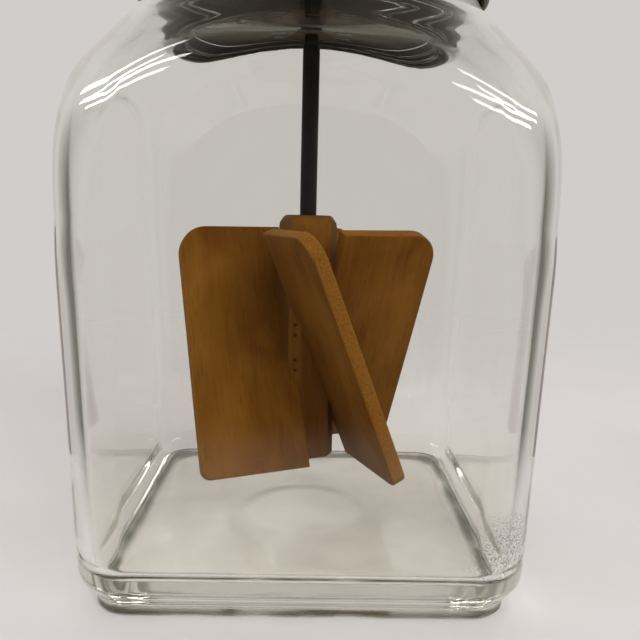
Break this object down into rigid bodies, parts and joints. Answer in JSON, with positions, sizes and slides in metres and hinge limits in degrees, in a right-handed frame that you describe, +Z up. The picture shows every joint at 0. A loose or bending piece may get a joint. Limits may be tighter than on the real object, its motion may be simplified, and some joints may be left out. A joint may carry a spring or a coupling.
{
  "type": "glass jar butter churn",
  "caption": "Square glass jar with a screw lid; a hand crank drives a wooden paddle dasher through a gear wheel and pinion to churn cream into butter.",
  "frame": {"origin": "centre of the jar's flat underside", "axes": "+Z up along the dasher's shaft; the crank faces -Y, which is also the side that the picture looks at"},
  "size_m": [0.1636, 0.2082, 0.3752],
  "materials": {
    "glass": "clear pressed glass with a faint green tint",
    "rubber": "matte black rubber",
    "tin": "dull grey tinned sheet",
    "iron": "black, worn at the edges",
    "steel": "dulled steel",
    "brass": "dull brass",
    "handle_wood": "stained and varnished turned wood",
    "dasher_wood": "oiled hardwood, darkened with use"
  },
  "bodies": {
    "jar": {"jar": "glass", "jar_shoulder": "glass", "jar_neck": "glass"},
    "seal": {"seal_ring": "rubber"},
    "head": {"lid": "tin", "strainer_screen": "tin", "gear_frame": "iron", "frame_screws": "steel", "frame_nuts": "steel", "thrust_washer": "brass", "grip_stud": "steel", "top_grip": "handle_wood", "grip_washer": "steel", "grip_nut": "steel"},
    "crank": {"drive_wheel": "iron", "wheel_axle": "steel", "axle_washer": "steel", "axle_nut": "steel", "crank_arm": "iron", "crank_nut": "steel", "crank_pin": "steel", "knob_washer": "steel"},
    "knob": {"crank_knob": "handle_wood"},
    "dasher": {"pinion": "iron", "pinion_pin": "steel", "dasher_shaft": "iron", "dasher_hub": "dasher_wood", "hub_pin": "steel", "dasher_blade_1": "dasher_wood", "dasher_blade_2": "dasher_wood", "dasher_blade_3": "dasher_wood", "dasher_blade_4": "dasher_wood", "blade_nails": "steel"}
  },
  "joints": [
    {"name": "lid_rise", "type": "slide", "parent": "jar", "child": "seal", "axis": [0, 0, 1], "range_m": [0, 0.00765]},
    {"name": "lid_turn", "type": "hinge", "parent": "seal", "child": "head", "pos_m": [0, 0, 0.2293], "axis": [0, 0, 1], "range_deg": [0, 430]},
    {"name": "crank_spin", "type": "hinge", "parent": "head", "child": "crank", "pos_m": [0, -0.015, 0.28321], "axis": [0, -1, 0], "continuous": true},
    {"name": "dasher_spin", "type": "hinge", "parent": "head", "child": "dasher", "pos_m": [0, 0, 0.15], "axis": [0, 0, 1], "continuous": true},
    {"name": "knob_spin", "type": "hinge", "parent": "crank", "child": "knob", "pos_m": [0, -0.101, 0.22521], "axis": [0, -1, 0], "continuous": true}
  ],
  "couplings": [
    {"joint": "lid_rise", "follows": "lid_turn", "m_per_rad": 0.0010186},
    {"joint": "dasher_spin", "follows": "crank_spin", "ratio": 4}
  ]
}
